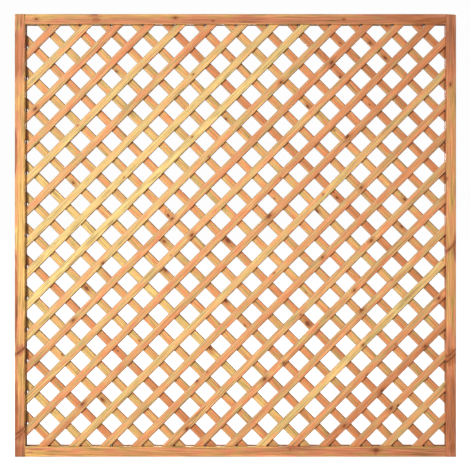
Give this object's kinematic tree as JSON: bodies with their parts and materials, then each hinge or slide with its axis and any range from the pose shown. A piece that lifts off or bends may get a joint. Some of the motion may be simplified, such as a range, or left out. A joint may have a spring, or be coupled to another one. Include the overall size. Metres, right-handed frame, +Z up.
{
  "type": "trellis panel",
  "caption": "Square framed diamond trellis panel: two crossed layers of thin timber laths seated in a grooved, screwed frame, for climbing plants and screening.",
  "frame": {"origin": "middle of the panel's bottom edge, half way through its depth", "axes": "+X to the right seen from the front, +Y from the front to the back, +Z up"},
  "size_m": [1.797, 0.042, 1.803],
  "materials": {
    "frame_timber": "planed softwood, honey-brown outdoor stain, matt",
    "lath_timber": "planed softwood, honey-yellow outdoor stain, matt",
    "zinc_steel": "zinc plated, slightly dull"
  },
  "bodies": {
    "root": {"stile_left": "frame_timber", "stile_right": "frame_timber", "rail_bottom": "frame_timber", "rail_top": "frame_timber", "front_lath_01": "lath_timber", "front_lath_02": "lath_timber", "front_lath_03": "lath_timber", "front_lath_04": "lath_timber", "front_lath_05": "lath_timber", "front_lath_06": "lath_timber", "front_lath_07": "lath_timber", "front_lath_08": "lath_timber", "front_lath_09": "lath_timber", "front_lath_10": "lath_timber", "front_lath_11": "lath_timber", "front_lath_12": "lath_timber", "front_lath_13": "lath_timber", "front_lath_14": "lath_timber", "front_lath_15": "lath_timber", "front_lath_16": "lath_timber", "front_lath_17": "lath_timber", "front_lath_18": "lath_timber", "front_lath_19": "lath_timber", "front_lath_20": "lath_timber", "front_lath_21": "lath_timber", "front_lath_22": "lath_timber", "front_lath_23": "lath_timber", "front_lath_24": "lath_timber", "front_lath_25": "lath_timber", "front_lath_26": "lath_timber", "back_lath_01": "lath_timber", "back_lath_02": "lath_timber", "back_lath_03": "lath_timber", "back_lath_04": "lath_timber", "back_lath_05": "lath_timber", "back_lath_06": "lath_timber", "back_lath_07": "lath_timber", "back_lath_08": "lath_timber", "back_lath_09": "lath_timber", "back_lath_10": "lath_timber", "back_lath_11": "lath_timber", "back_lath_12": "lath_timber", "back_lath_13": "lath_timber", "back_lath_14": "lath_timber", "back_lath_15": "lath_timber", "back_lath_16": "lath_timber", "back_lath_17": "lath_timber", "back_lath_18": "lath_timber", "back_lath_19": "lath_timber", "back_lath_20": "lath_timber", "back_lath_21": "lath_timber", "back_lath_22": "lath_timber", "back_lath_23": "lath_timber", "back_lath_24": "lath_timber", "back_lath_25": "lath_timber", "back_lath_26": "lath_timber", "corner_screw_bottom_left": "zinc_steel", "corner_screw_bottom_right": "zinc_steel", "corner_screw_top_left": "zinc_steel", "corner_screw_top_right": "zinc_steel"}
  },
  "joints": []
}
